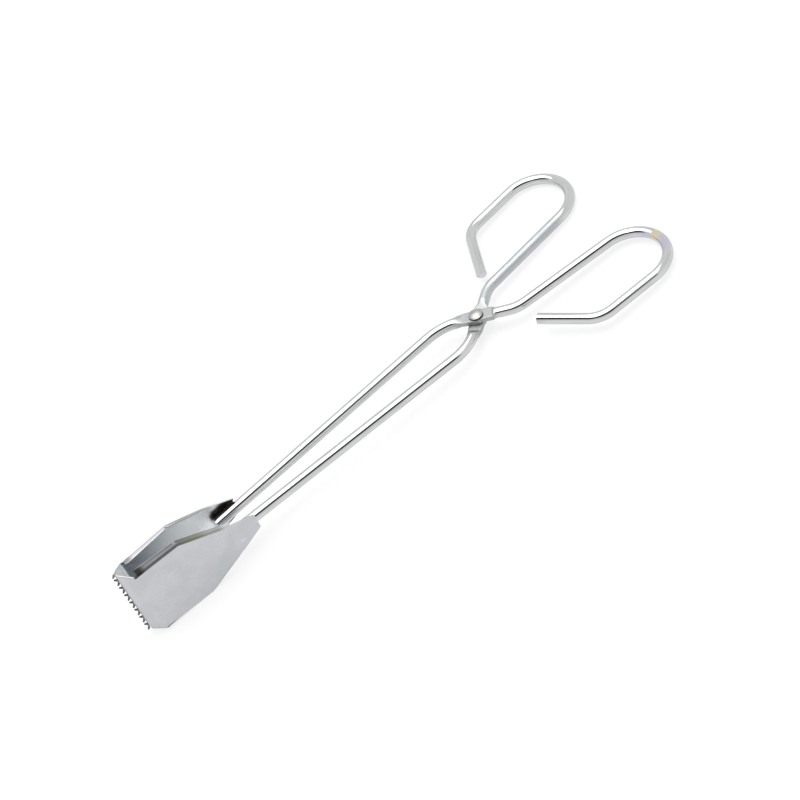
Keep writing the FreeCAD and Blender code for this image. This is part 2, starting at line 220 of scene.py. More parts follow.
sheetLook = {
    "steel": (0.535, 0.54, 0.56, 1),
    "cool": (0.50, 0.51, 0.53, 1),
    # painted light: the inner face is much lighter than the outer face
    "inner": (0.86, 0.885, 0.90, 1),
    # painted shade: the inner face's painted light is held back towards the front
    "innerFrontShade": (0.50, 0.53, 0.56, 1),
    # painted shade on the folded sides, darkest to lightest towards the rear, with an olive tint
    "rim": (0.105, 0.11, 0.11, 1),
    "rimBack": (0.33, 0.34, 0.335, 1),
    "oliveShade": (0.19, 0.21, 0.15, 1),
    # painted shadow black, beside the lip and in the press lines
    "paintedShadeBlack": (0.035, 0.034, 0.033, 1),
    # painted shade inside the socket, tinted brown by the weld
    "socketShadeBrown": (0.050, 0.036, 0.030, 1),
    "grain": (0.47, 0.48, 0.50, 1),
    "speck": (0.42, 0.42, 0.43, 1),
    "dull": (0.45, 0.48, 0.495, 1),
    "scratch": (0.86, 0.87, 0.88, 1),
    "sheared": (0.60, 0.61, 0.62, 1),
    "darkEdge": (0.16, 0.165, 0.17, 1),
    # painted shade over the teeth
    "tooth": (0.045, 0.045, 0.045, 1),
    "rough": 0.26,
    "grainDepth": 0.02,  # mm
    "grainStrength": 0.4,
    "innerFrontShadeRun": (34.0, 66.0),  # mm along the jaw, as all the runs below
    "lipRun": (69.0, 70.5),
    "sideFrom": 16.5, "sideHalf": 10.9,  # where the folded sides begin, and how far out
    "sideUpper": (25.5, 11.4), "sideLower": (22.5, 9.0),  # how long they splay, and by how much
    "lowerShade": 0.62,  # painted shade is weaker on the lower side
    "toothRun": (77.0, 77.6),
    "scratches": [((12.2, -3.9), (9.1, -4.4), 0.3), ((55.0, 9.0), (49.0, 10.5), 0.22)],  # ends and width
    "lineWidth": 0.95,
}


def makeSheetFinish(look):
    finish, b, shader = newFinish("satinSheet")
    place = b.add("ShaderNodeAttribute", {"attribute_name": "sheetPlace"}, {}, "Vector")
    edge = b.add("ShaderNodeAttribute", {"attribute_name": "cutEdge"}, {}, "Fac")
    inner = 1 - b.add("ShaderNodeAttribute", {"attribute_name": "outerFace"}, {}, "Fac")
    along, out, across = b.split(place)
    grain = b.noise(b.scaled(place, (0.12, 6.0, 6.0)), 1.0, 4.0, 0.7)  # rolling grain, lengthwise
    cloud = b.noise(b.scaled(place, (0.07, 0.2, 0.09)), 1.0, 3.0)
    speck = b.noise(place, 5.0, 2.0)
    tone = b.blend(b.ramp(cloud, 0.40, 0.62), look["steel"], look["cool"])
    # painted light: the inner face is painted much lighter than the outer face
    tone = b.blend(inner * 0.9, tone, look["inner"])
    # painted shade: the inner face is painted darker towards the front, up to the lip
    frontShade = inner * b.ramp(along, *look["innerFrontShadeRun"]) * (1 - b.ramp(along, *look["lipRun"]))
    tone = b.blend(frontShade * 0.75, tone, look["innerFrontShade"])
    tone = b.blend(b.ramp(grain, 0.45, 0.75) * 0.10, tone, look["grain"])
    tone = b.blend(b.ramp(speck, 0.66, 0.74) * 0.16, tone, look["speck"])
    # a duller patch over the narrow half, near the lower edge
    lean = across + (along - 22.7) * 0.95
    dull = (1 - b.ramp(lean, -4.0, 1.5)) * b.ramp(along, 13.0, 19.0) * (1 - b.ramp(along, 31.0, 40.0))
    tone = b.blend(dull * (1 - inner) * 0.5, tone, look["dull"])
    # folded sides get painted shade, blackest beside the lip
    start, half = look["sideFrom"], look["sideHalf"]
    run, splay = look["sideUpper"]
    above = b.ramp(across - (half + b.clamp((along - start) / run) * splay), 0.0, 0.4)
    run, splay = look["sideLower"]
    below = b.ramp(-half - b.clamp((along - start) / run) * splay - across, 0.0, 0.4)
    below = below * look["lowerShade"]
    side = b.math("MAXIMUM", above, below)
    side = side * b.ramp(along, 15.0, 22.0) * (1 - b.ramp(along, 70.0, 70.6))
    tone = b.blend(above * side * 0.92, tone, look["rim"])
    tone = b.blend(side * (1 - b.ramp(along, 24.0, 36.0)) * 0.9, tone, look["rimBack"])
    tone = b.blend(side * b.bump(along, 27.0, 38.0) * 0.6, tone, look["oliveShade"])
    # painted shadow at the folded sides' front ends, beside the lip
    frontShade = side * b.ramp(along, 62.0, 66.5)
    tone = b.blend(frontShade * 0.9, tone, look["paintedShadeBlack"])
    # inside of the socket: painted shade in the hollow, tinted brown by the weld
    inside = inner * (1 - b.ramp(along, 14.0, 17.2))
    inside = inside * (1 - b.ramp(abs(across), 5.4, 8.6) * b.ramp(along, 3.0, 9.0))
    tone = b.blend(inside * 0.92, tone, look["socketShadeBrown"])
    # press lines where the socket opens out, darkened with painted shade
    lines = b.nearLine(along, across, *pressLines[0], look["lineWidth"])
    lines = lines + b.nearLine(along, across, *pressLines[1], look["lineWidth"])
    lines = b.clamp(lines) * (1 - b.ramp(out, 3.65, 3.9))  # on the inner face only
    tone = b.blend(lines * 0.9, tone, look["paintedShadeBlack"])
    scratch = b.nearLine(along, across, *look["scratches"][0])
    scratch = b.clamp(scratch + b.nearLine(along, across, *look["scratches"][1]) * 0.5)
    tone = b.blend(scratch * b.ramp(out, 3.6, 3.9) * 0.7, tone, look["scratch"])
    tooth = b.ramp(along, *look["toothRun"])
    sheared = edge * (1 - b.ramp(along, 66.0, 69.0))
    tone = b.blend(sheared * 0.55, tone, look["sheared"])
    tone = b.blend((edge - sheared) * 0.6, tone, look["darkEdge"])  # the lip's cut edges are darker
    # painted shade over the teeth, for the shadows between them
    tone = b.blend(tooth * 0.9, tone, look["tooth"])
    b.plug(shader.inputs["Base Color"], tone)
    rough = look["rough"] + 0.10 * b.ramp(grain, 0.4, 0.7) + 0.06 * b.ramp(cloud, 0.4, 0.7) + frontShade * 0.3
    b.plug(shader.inputs["Roughness"], rough + lines * 0.3 + side * 0.16 - scratch * 0.1)
    height = grain * 0.6 + speck * 0.25 - scratch * 2.0
    b.relief(shader, height, look["grainDepth"] * mm, look["grainStrength"])
    shader.inputs["Metallic"].default_value = 1.0
    return finish


rivetLook = {
    "nickel": (0.43, 0.425, 0.405, 1),
    "worn": (0.35, 0.345, 0.33, 1),
    "speck": (0.40, 0.39, 0.37, 1),
    # painted shadow where the head meets the flat
    "seatShade": (0.018, 0.017, 0.016, 1),
    "seatShadeRise": (0.7, 1.15),  # mm above the flat
    "rough": 0.34,
    "hammerDepth": 0.06,  # mm
}


def makeRivetFinish(look):
    finish, b, shader = newFinish("nickelRivet")
    where = b.add("ShaderNodeTexCoord", {}, {}, "Object")
    hammered = b.noise(where, 420.0, 3.0)
    speck = b.noise(where, 2400.0, 2.0)
    tone = b.blend(b.ramp(hammered, 0.40, 0.65), look["nickel"], look["worn"])
    tone = b.blend(b.ramp(speck, 0.62, 0.72) * 0.3, tone, look["speck"])
    z = b.split(where)[2]
    foot = pivotAt.z + (rivetSize["gap"] / 2 + rivetSize["lap"]) * mm  # painted shadow where the head meets the flat
    low, high = (foot + rise * mm for rise in look["seatShadeRise"])
    seat = (1 - b.ramp(z, low, high)) * b.math("GREATER_THAN", z, pivotAt.z)
    tone = b.blend(seat * 0.95, tone, look["seatShade"])
    b.plug(shader.inputs["Base Color"], tone)
    b.plug(shader.inputs["Roughness"], look["rough"] + 0.15 * b.ramp(speck, 0.45, 0.7))
    b.relief(shader, hammered + speck * 0.3, look["hammerDepth"] * mm)
    shader.inputs["Metallic"].default_value = 1.0
    return finish


rivetLow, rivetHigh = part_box("pivot_rivet")
rivetSize = {
    "headRadius": 4.2, "headHeight": 2.3, "rim": 1.05, "shoulder": 0.5,  # mm
    "tailRadius": 3.8, "tailHeight": 1.5, "punchRadius": 1.3, "punchDepth": 0.35,
    "shank": 2.0, "lap": 2.8, "gap": 0.1, "seat": 0.02,
    "sides": 72, "crisp": 40,
}
pivotAt = Vector(((rivetLow.x + rivetHigh.x) / 2, (rivetLow.y + rivetHigh.y) / 2,
                  rivetHigh.z - (rivetSize["headHeight"] + rivetSize["lap"] + rivetSize["gap"] / 2) * mm))
rodFinish = makeRodFinish(rodLook)
sheetFinish = makeSheetFinish(sheetLook)
rivetFinish = makeRivetFinish(rivetLook)
print("finishes made")


def newObject(name, content):
    obj = bpy.data.objects.new(name, content)
    scene.collection.objects.link(obj)
    return obj


def newTree(name, sizes):  # a geometry tree with named inputs; sizes is {name: socket type}
    tree = bpy.data.node_groups.new(name, "GeometryNodeTree")
    tree.interface.new_socket("Geometry", in_out="INPUT", socket_type="NodeSocketGeometry")
    for label, kind in sizes.items():
        tree.interface.new_socket(label, in_out="INPUT", socket_type=kind)
    tree.interface.new_socket("Geometry", in_out="OUTPUT", socket_type="NodeSocketGeometry")
    bench = Bench(tree)
    first = bench.add("NodeGroupInput", {}, {}, "Geometry")
    given = {label: bench.more(first, label) for label in sizes}
    return tree, bench, first, given


def useTree(obj, tree, values):
    step = obj.modifiers.new(tree.name, "NODES")
    step.node_group = tree
    for item in tree.interface.items_tree:
        if item.in_out == "INPUT" and item.name in values:
            step[item.identifier] = values[item.name]


def bakeMesh(obj, name):  # modifiers become plain mesh on a fresh object
    graph = bpy.context.evaluated_depsgraph_get()
    mesh = bpy.data.meshes.new_from_object(obj.evaluated_get(graph), preserve_all_data_layers=True,
                                           depsgraph=graph)
    mesh.name = name
    bpy.data.objects.remove(obj)
    return mesh


def finishPiece(mesh, name, body, node, finish, place, crisp):
    mesh.transform(place)
    mesh.update()
    mesh.shade_smooth()
    mesh.set_sharp_from_angle(angle=math.radians(crisp))
    mesh.materials.clear()
    mesh.materials.append(finish)
    piece = newObject(name, mesh)
    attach(piece, body)
    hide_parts(node)
    print("%-18s %7d triangles" % (name, sum(len(p.vertices) - 2 for p in mesh.polygons)))


turnOver = Matrix.Rotation(math.pi, 4, "X")  # the top half is the bottom one turned over


# each arm is one rod, bent along a route and stamped flat at the pivot
rodSize = {
    "radius": 3.175, "sides": 56, "endEase": 0.5,  # mm
    "ringGap": 0.25, "ringCount": 59,  # close rings through the flat and its shoulders
    "arcStep": 2.2,  # degrees between rings round a bend
    "face": 1.0, "back": -1.8,  # flat's two faces, from the rod's axis
    "halfLength": 9.8, "shoulder": 3.4, "backShank": 8.0, "backHandle": 1.5,
    "halfWidth": 4.1, "eye": 4.8, "drop": 1.05, "crisp": 32,
    "lapAngle": 37.3, "jawAngle": 2.33, "lapToShank": 8.8, "shankBend": 31.9, "shankLength": 157.5,
    "lapToHandle": 19.0, "handleBend": 17.1, "loopRadius": 21.3, "fingerBend": 15.8,
    "top": {"handle": 5.4, "length": 58.6, "loop": 176.6, "back": 30.4, "finger": 53.6, "tail": 28.9},
    "bottom": {"handle": 6.7, "length": 58.0, "loop": 179.4, "back": 26.3, "finger": 56.3, "tail": 29.4},
}


def walkRoute(heading, steps):  # points along straights and arcs, out from the pivot
    point = Vector((0, 0, 0))
    points = [point.copy()]
    for step in steps:
        if step[0] == "line":
            ahead = Vector((math.cos(heading), math.sin(heading), 0))
            near = [d for d in (step[2] if len(step) > 2 else []) if 0 < d < step[1]]
            for d in near + [step[1]]:
                points.append(point + ahead * d)
            point = points[-1].copy()
        else:
            turn = math.radians(step[2])
            side = 1 if turn > 0 else -1
            left = Vector((-math.sin(heading), math.cos(heading), 0)) * side
            centre = point + left * step[1]
            count = max(6, round(abs(step[2]) / rodSize["arcStep"]))
            for i in range(1, count + 1):
                swing = Matrix.Rotation(turn * i / count, 3, "Z")
                points.append(centre + swing @ (point - centre))
            point = points[-1].copy()
            heading += turn
    return points


def rodRoute(size, side):
    own = size[side]
    fine = [size["ringGap"] * i for i in range(1, size["ringCount"] + 1)]

    def endOf(length):  # close rings over the rounded end
        return [length * i / 8 for i in range(1, 8)] + [length - e for e in (0.5, 0.35, 0.2, 0.08)]

    shank = walkRoute(0.0, [
        ("line", size["lapToShank"], fine),
        ("arc", size["shankBend"], -size["lapAngle"] - size["jawAngle"]),
        ("line", size["shankLength"], endOf(size["shankLength"])),
    ])
    handle = walkRoute(math.pi, [
        ("line", size["lapToHandle"], fine),
        ("arc", size["handleBend"], own["handle"] - size["lapAngle"]),
        ("line", own["length"]),
        ("arc", size["loopRadius"], own["loop"]),
        ("line", own["back"]),
        ("arc", size["fingerBend"], own["finger"]),
        ("line", own["tail"], endOf(own["tail"])),
    ])
    return list(reversed(handle)) + shank[1:]


def makeRodTree():
    sizes = {"Rod Radius": "NodeSocketFloat", "Round Sides": "NodeSocketInt", "End Ease": "NodeSocketFloat",
             "Face Level": "NodeSocketFloat", "Back Level": "NodeSocketFloat",
             "Flat Half Length": "NodeSocketFloat", "Face Shoulder": "NodeSocketFloat",
             "Back Shoulder Shank": "NodeSocketFloat", "Back Shoulder Handle": "NodeSocketFloat",
             "Flat Half Width": "NodeSocketFloat", "Eye Radius": "NodeSocketFloat",
             "Finish": "NodeSocketMaterial"}
    tree, b, path, given = newTree("bentRod", sizes)
    radius = given["Rod Radius"]
    curve = b.add("GeometryNodeMeshToCurve", {}, {"Mesh": path})
    curve = b.add("GeometryNodeSetCurveNormal", {"mode": "Z_UP"}, {"Curve": curve})
    gone = b.add("GeometryNodeSplineParameter", {}, {}, "Length")
    whole = b.add("GeometryNodeSplineLength", {}, {}, "Length")
    toEnd = b.clamp(b.math("MINIMUM", gone, whole - gone) / given["End Ease"])
    bulge = b.math("SQRT", 1 - (1 - toEnd) ** 2)  # quarter round at the cut ends
    scale = 1 - (1 - bulge) * given["End Ease"] / radius
    curve = b.add("GeometryNodeSetCurveRadius", {}, {"Curve": curve, "Radius": scale})
    curve = b.add("GeometryNodeStoreNamedAttribute", {"data_type": "FLOAT", "domain": "POINT"},
                  {"Geometry": curve, "Name": "rodLength", "Value": gone})
    ring = b.add("GeometryNodeCurvePrimitiveCircle", {},
                 {"Resolution": given["Round Sides"], "Radius": radius})
    spot = b.add("GeometryNodeInputPosition")
    ring = b.add("GeometryNodeStoreNamedAttribute", {"data_type": "FLOAT_VECTOR", "domain": "POINT"},
                 {"Geometry": ring, "Name": "ringPlace", "Value": spot})
    rod = b.add("GeometryNodeCurveToMesh", {}, {"Curve": curve, "Profile Curve": ring, "Fill Caps": True})
    length = b.add("GeometryNodeInputNamedAttribute", {"data_type": "FLOAT"}, {"Name": "rodLength"})
    around = b.add("GeometryNodeInputNamedAttribute", {"data_type": "FLOAT_VECTOR"}, {"Name": "ringPlace"})
    ringX, ringY = b.split(around)[:2]
    rod = b.add("GeometryNodeStoreNamedAttribute", {"data_type": "FLOAT_VECTOR", "domain": "POINT"},
                {"Geometry": rod, "Name": "rodPlace", "Value": b.join(ringX, ringY, length)})
    # stamp: the round section turns into a soft-cornered bar over the shoulder
    x, y, z = b.split(spot)
    reach = abs(x)
    inLap = 1 - b.math("GREATER_THAN", abs(y), radius * 1.3)
    half = given["Flat Half Length"]
    onShank = b.math("GREATER_THAN", x, 0.0)
    backRun = given["Back Shoulder Shank"] * onShank + given["Back Shoulder Handle"] * (1 - onShank)
    faceRun = given["Face Shoulder"] * (2 - onShank)  # twice as long towards the handle
    faceFlat = b.ramp(reach, half + faceRun * 0.7, half - faceRun * 0.4) * inLap
    backFlat = b.ramp(reach, half + backRun * 0.6, half - backRun * 0.4) * inLap
    cosine, sine = y / radius, z / radius
    upper = b.ramp(sine, -0.35, 0.35)
    flat = backFlat + (faceFlat - backFlat) * upper
    struck = b.ramp(reach, half + backRun * 0.6 + 2.5, half - 0.5) * inLap
    power = 18.0
    grow = (abs(cosine) ** power + abs(sine) ** power) ** (-1 / power)
    eye = b.math("SQRT", b.math("MAXIMUM", given["Eye Radius"] ** 2 - reach * reach, 0.0))
    wide = b.math("MAXIMUM", given["Flat Half Width"], eye)
    middle = (given["Face Level"] + given["Back Level"]) / 2
    thick = (given["Face Level"] - given["Back Level"]) / 2
    # the bar's edges draw in to the rod over a shorter run
    spread = b.ramp(reach, half + 1.2 + backRun * 0.4, half - 0.6 - backRun * 0.4) * inLap
    barY = cosine * grow * wide
    barZ = sine * grow * thick + middle
    moved = b.join(x, y + (barY - y) * spread, z + (barZ - z) * flat)
    rod = b.add("GeometryNodeStoreNamedAttribute", {"data_type": "FLOAT", "domain": "POINT"},
                {"Geometry": rod, "Name": "stamped", "Value": struck})
    rod = b.add("GeometryNodeSetPosition", {}, {"Geometry": rod, "Position": moved})
    rod = b.add("GeometryNodeRealizeInstances", {}, {"Geometry": rod})
    rod = b.add("GeometryNodeSetMaterial", {}, {"Geometry": rod, "Material": given["Finish"]})
    b.add("NodeGroupOutput", {}, {"Geometry": rod})
    return tree


def makeArm(side, place, body, tree):
    size = rodSize
    points = rodRoute(size, side)
    mesh = bpy.data.meshes.new("route")
    mesh.from_pydata([tuple(p) for p in points], [(i, i + 1) for i in range(len(points) - 1)], [])
    obj = newObject("route", mesh)
    useTree(obj, tree, {
        "Rod Radius": size["radius"], "Round Sides": size["sides"], "End Ease": size["endEase"],
        "Face Level": size["face"], "Back Level": size["back"], "Flat Half Length": size["halfLength"],
        "Face Shoulder": size["shoulder"], "Back Shoulder Shank": size["backShank"],
        "Back Shoulder Handle": size["backHandle"], "Flat Half Width": size["halfWidth"],
        "Eye Radius": size["eye"], "Finish": rodFinish,
    })
    mesh = bakeMesh(obj, side + "Arm")
    finishPiece(mesh, side + "Arm", body, side + "_arm", rodFinish, place, size["crisp"])


toPivot = Matrix.Translation(pivotAt) @ Matrix.Diagonal((mm, mm, mm, 1))
armTurn = Matrix.Rotation(math.radians(rodSize["lapAngle"]), 4, "Z")
armPlace = Matrix.Translation((0, 0, -rodSize["drop"])) @ armTurn
rodTree = makeRodTree()
makeArm("bottom", toPivot @ armPlace, "bottom_half", rodTree)
makeArm("top", toPivot @ turnOver @ armPlace, "top_half", rodTree)


# each jaw is one sheet blank: toothed lip, folded sides and a socket curled round the rod
jawSize = {
    "rod": 3.175, "sheet": 0.8, "crease": 17.5, "creaseHalf": 12.0, "creaseAt": 16.5,  # mm
    "kink": (39.0, 42.0), "kinkHalf": (21.0, 23.4),  # (lower, upper) side
    "fold": 70.2, "foldHalf": (21.2, 23.7),
    "lipAngle": 43.0, "lipRoot": 8.8, "lipHalf": 23.8, "lipBend": 1.5,
    "foldRound": 1.1, "rimStart": 13.6, "rimEnd": 68.7, "rimBack": 1.6, "rimFront": 3.8,
    "reliefWidth": 0.9, "reliefShift": 1.0,  # small cut beside each kink
    "mouthHalf": 5.0,
    "toothPitch": 6.6, "toothRoot": 2.1, "toothTip": 0.4, "toothReach": 2.95,
    "edgeRound": 0.12, "edgeAngle": 50, "crisp": 35,
    "pressWidth": 0.8, "pressDepth": 0.35,
    "dimpleAt": (44.0, -1.3), "dimpleRadius": 1.6, "dimpleDepth": 0.16,
    "grip": 16.0,  # rod inside the socket
    "top": {"teeth": 8, "mouthOut": 1.2, "mouthBack": -0.4, "lipShift": -1.35},
    "bottom": {"teeth": 7, "mouthOut": 3.0, "mouthBack": 1.2, "lipShift": 3.45},  # curled less round its rod
}


def jawHalf(size, own, x, side):  # the plate's outline from its middle, on its lower or upper side
    kink, kinkHalf, foldHalf = (size[name][side > 0] for name in ("kink", "kinkHalf", "foldHalf"))
    if x < size["creaseAt"]:
        t = (x + own["mouthBack"]) / (size["creaseAt"] + own["mouthBack"])
        return size["mouthHalf"] + (size["creaseHalf"] - size["mouthHalf"]) * t
    if x < kink:
        run = kink - size["creaseAt"]
        return size["creaseHalf"] + (kinkHalf - size["creaseHalf"]) * (x - size["creaseAt"]) / run
    return kinkHalf + (foldHalf - kinkHalf) * (x - kink) / (size["fold"] - kink)


def socketPoint(size, own, x, u):  # outer face of the sheet at a station, u runs from one side to the other
    outer = size["rod"] + size["sheet"]
    if x >= size["crease"]:
        return outer, u * jawHalf(size, own, x, u)
    reach = math.hypot(own["mouthOut"], size["mouthHalf"])
    lean = math.atan2(size["mouthHalf"], own["mouthOut"]) - math.acos(outer / reach)
    gone = abs(u) * (outer * lean + math.sqrt(reach ** 2 - outer ** 2)) - outer * lean
    side = -1 if u < 0 else 1
    if gone <= 0:  # on the curl
        a = lean + gone / outer
        y0, z0 = outer * math.cos(a), side * outer * math.sin(a)
    else:  # on the flare
        y0 = outer * math.cos(lean) - gone * math.sin(lean)
        z0 = side * (outer * math.sin(lean) + gone * math.cos(lean))
    t = (x + own["mouthBack"]) / (size["crease"] + own["mouthBack"])
    w = 1 - (1 - t) ** (1.35 - 0.3 * abs(u) ** 3)  # eases into the plate, straighter along the edges
    endHalf = jawHalf(size, own, size["crease"], u)
    y = y0 + (outer - y0) * w
    z = z0 + (endHalf * u - z0) * w
    edge = size["mouthHalf"] + (endHalf - size["mouthHalf"]) * w
    return y, z * (1 + (jawHalf(size, own, x, u) / edge - 1) * u * u)


def jawColumns(size, teeth):  # places across the lip, closest where a tooth's outline turns
    pitch, half = size["toothPitch"], size["lipHalf"]
    spots = set()
    marks = [0.0, 0.1, 0.2, 0.35, 0.5, 0.65, 0.8, 0.93, 1.05, 1.25, 1.6, 2.1, 2.6, 3.15]
    for k in range(teeth):
        middle = (k - (teeth - 1) / 2) * pitch
        for m in marks:
            spots.add(round(middle - m, 3))
            spots.add(round(middle + m, 3))
    outermost = max(spots)
    if outermost < half:
        gap = half - outermost
        count = max(1, round(gap / 0.6))
        for i in range(1, count + 1):
            spots.add(round(outermost + gap * i / count, 3))
            spots.add(round(-outermost - gap * i / count, 3))
    spots = [s for s in spots if abs(s) < half - 0.05] + [half, -half]
    return [s / half for s in sorted(set(spots))]


def rimDepth(size, x, side):  # how far a folded side stands up from the plate
    kink = size["kink"][side > 0]
    if x < kink:
        t = max(0.0, (x - size["creaseAt"]) / (kink - size["creaseAt"]))
        return size["rimBack"] + (size["rimFront"] - size["rimBack"]) / 2 * t
    t = (x - kink) / (size["fold"] - kink)
    deep = size["rimBack"] + (size["rimFront"] - size["rimBack"]) * (1 + t) / 2
    cut = max(0.0, 1 - abs(x - kink - size["reliefShift"]) / size["reliefWidth"])
    return deep - (deep - size["foldRound"] - 0.15) * min(1.0, cut * 1.6)


def jawSheet(size, own):
    outer = size["rod"] + size["sheet"]
    columns = jawColumns(size, own["teeth"])
    tangent = size["lipBend"] * math.tan(math.radians(size["lipAngle"]) / 2)
    start = -own["mouthBack"]
    stations = [start] + [0.4 * i for i in range(-2, 60) if 0.4 * i > start + 0.2]
    stations += [24.0 + 1.6 * i for i in range(9)]
    stations += [38.25 + 0.25 * i for i in range(25)]  # close rows through the kinks
    stations += [44.9 + 1.65 * i for i in range(14)] + [68.0]
    rows = []  # (points across, None or the points of the folded sides below and above)
    vertices, share = [], []  # share runs from 0 at the lip's bend to 1 at its cut edge

    def put(x, y, z, q=0.0):
        vertices.append((x, y, z))
        share.append(q)
        return len(vertices) - 1

    def plainRow(x):
        return [put(x, *socketPoint(size, own, x, u)) for u in columns]

    def rimRow(x):
        r = size["foldRound"]
        middle = []
        for u in columns:
            shrink = 1 - r / jawHalf(size, own, x, u)
            middle.append(put(x, *socketPoint(size, own, x, u * shrink)))
        sides = []
        for side in (-1, 1):
            ey, ez = socketPoint(size, own, x, side)
            py, pz = socketPoint(size, own, x, side * 0.93)
            run = math.hypot(ey - py, ez - pz)
            ty, tz = (ey - py) / run, (ez - pz) / run
            ny, nz = -tz * side, ty * side  # towards the inside of the jaw
            strip = []
            for i in range(1, 7):  # round the fold, then straight up the side
                a = math.radians(15 * i)
                cy = ey - r * ty + r * ny + r * (ty * math.sin(a) - ny * math.cos(a))
                cz = ez - r * tz + r * nz + r * (tz * math.sin(a) - nz * math.cos(a))
                strip.append(put(x, cy, cz))
            deep = rimDepth(size, x, side)
            for i in (1, 2, 3):
                d = r + (deep - r) * i / 3
                strip.append(put(x, ey + d * ny, ez + d * nz))
            sides.append(strip)
        return middle, sides

    for x in stations:
        if size["rimStart"] <= x <= size["rimEnd"]:
            if not rows or rows[-1][1] is None:
                rows.append((plainRow(size["rimStart"] - 0.3), None))
            rows.append(rimRow(x))
        elif x < size["rimStart"] - 0.35:
            rows.append((plainRow(x), None))
    rows.append(rimRow(size["rimEnd"]))
    for x in (69.1, size["fold"] - tangent):
        rows.append((plainRow(x), None))
    lip = math.radians(size["lipAngle"])

    def lipAcross(u, t):
        return u * size["foldHalf"][u > 0] * (1 - t) + (own["lipShift"] + u * size["lipHalf"]) * t

    def lipRow(s, q):
        t = min(1.0, s / size["lipRoot"])
        x = size["fold"] + s * math.cos(lip)
        y = outer - s * math.sin(lip)
        return [put(x, y, lipAcross(u, t), q) for u in columns]

    bendX, bendY = size["fold"] - tangent, outer - size["lipBend"]
    for i in range(1, 6):
        a = lip * i / 6
        t = tangent * i / 6 / size["lipRoot"]
        x, y = bendX + size["lipBend"] * math.sin(a), bendY + size["lipBend"] * math.cos(a)
        rows.append(([put(x, y, lipAcross(u, t)) for u in columns], None))
    for q in (0.0, 0.2, 0.4, 0.6, 0.75, 0.87, 0.95, 1.0):
        rows.append((lipRow(tangent + (size["lipRoot"] - tangent) * q, q), None))

    faces = []

    def skin(a, b):
        for i in range(len(a) - 1):
            faces.append((a[i], b[i], b[i + 1], a[i + 1]))

    for (low, lowSides), (high, highSides) in zip(rows, rows[1:]):
        skin(low, high)
        if lowSides and highSides:
            under = (list(reversed(lowSides[0])) + [low[0]], list(reversed(highSides[0])) + [high[0]])
            over = ([low[-1]] + lowSides[1], [high[-1]] + highSides[1])
            skin(*under)
            skin(*over)
    mesh = bpy.data.meshes.new("blank")
    mesh.from_pydata(vertices, [], faces)
    mesh.attributes.new("lipShare", "FLOAT", "POINT").data.foreach_set("value", share)
    return mesh


def makeTeethTree():
    names = ("Tooth Count", "Tooth Pitch", "Tooth Root", "Tooth Tip", "Tooth Reach",
             "Lip Angle", "Lip Middle")
    sizes = {name: "NodeSocketFloat" for name in names}
    sizes["Finish"] = "NodeSocketMaterial"
    tree, b, sheet, given = newTree("lipTeeth", sizes)
    share = b.add("GeometryNodeInputNamedAttribute", {"data_type": "FLOAT"}, {"Name": "lipShare"})
    z = b.split(b.add("GeometryNodeInputPosition"))[2]
    turn = (z - given["Lip Middle"]) / given["Tooth Pitch"] + given["Tooth Count"] / 2
    inRow = b.math("GREATER_THAN", turn, 0.0) * b.math("LESS_THAN", turn, given["Tooth Count"])
    off = abs(b.math("FRACT", turn) - 0.5) * given["Tooth Pitch"]
    rise = (given["Tooth Root"] / 2 - off) / (given["Tooth Root"] / 2 - given["Tooth Tip"] / 2)
    reach = b.clamp(rise) ** 1.2 * given["Tooth Reach"] * inRow * share ** 4
    angle = b.math("RADIANS", given["Lip Angle"])
    push = b.join(reach * b.math("COSINE", angle), reach * b.math("SINE", angle) * -1, 0.0)
    sheet = b.add("GeometryNodeSetPosition", {}, {"Geometry": sheet, "Offset": push})
    sheet = b.add("GeometryNodeRealizeInstances", {}, {"Geometry": sheet})
    sheet = b.add("GeometryNodeSetMaterial", {}, {"Geometry": sheet, "Material": given["Finish"]})
    b.add("NodeGroupOutput", {}, {"Geometry": sheet})
    return tree


def pressLine(x, z, start, end, width):  # 1 on the line, 0 a width away and at its ends
    runX, runZ = end[0] - start[0], end[1] - start[1]
    long = math.hypot(runX, runZ)
    along = ((x - start[0]) * runX + (z - start[1]) * runZ) / long ** 2
    aside = abs((z - start[1]) * runX - (x - start[0]) * runZ) / long
    if along < 0 or along > 1:
        return 0.0
    return max(0.0, 1 - aside / width) * min(1.0, along * 8, (1 - along) * 8)


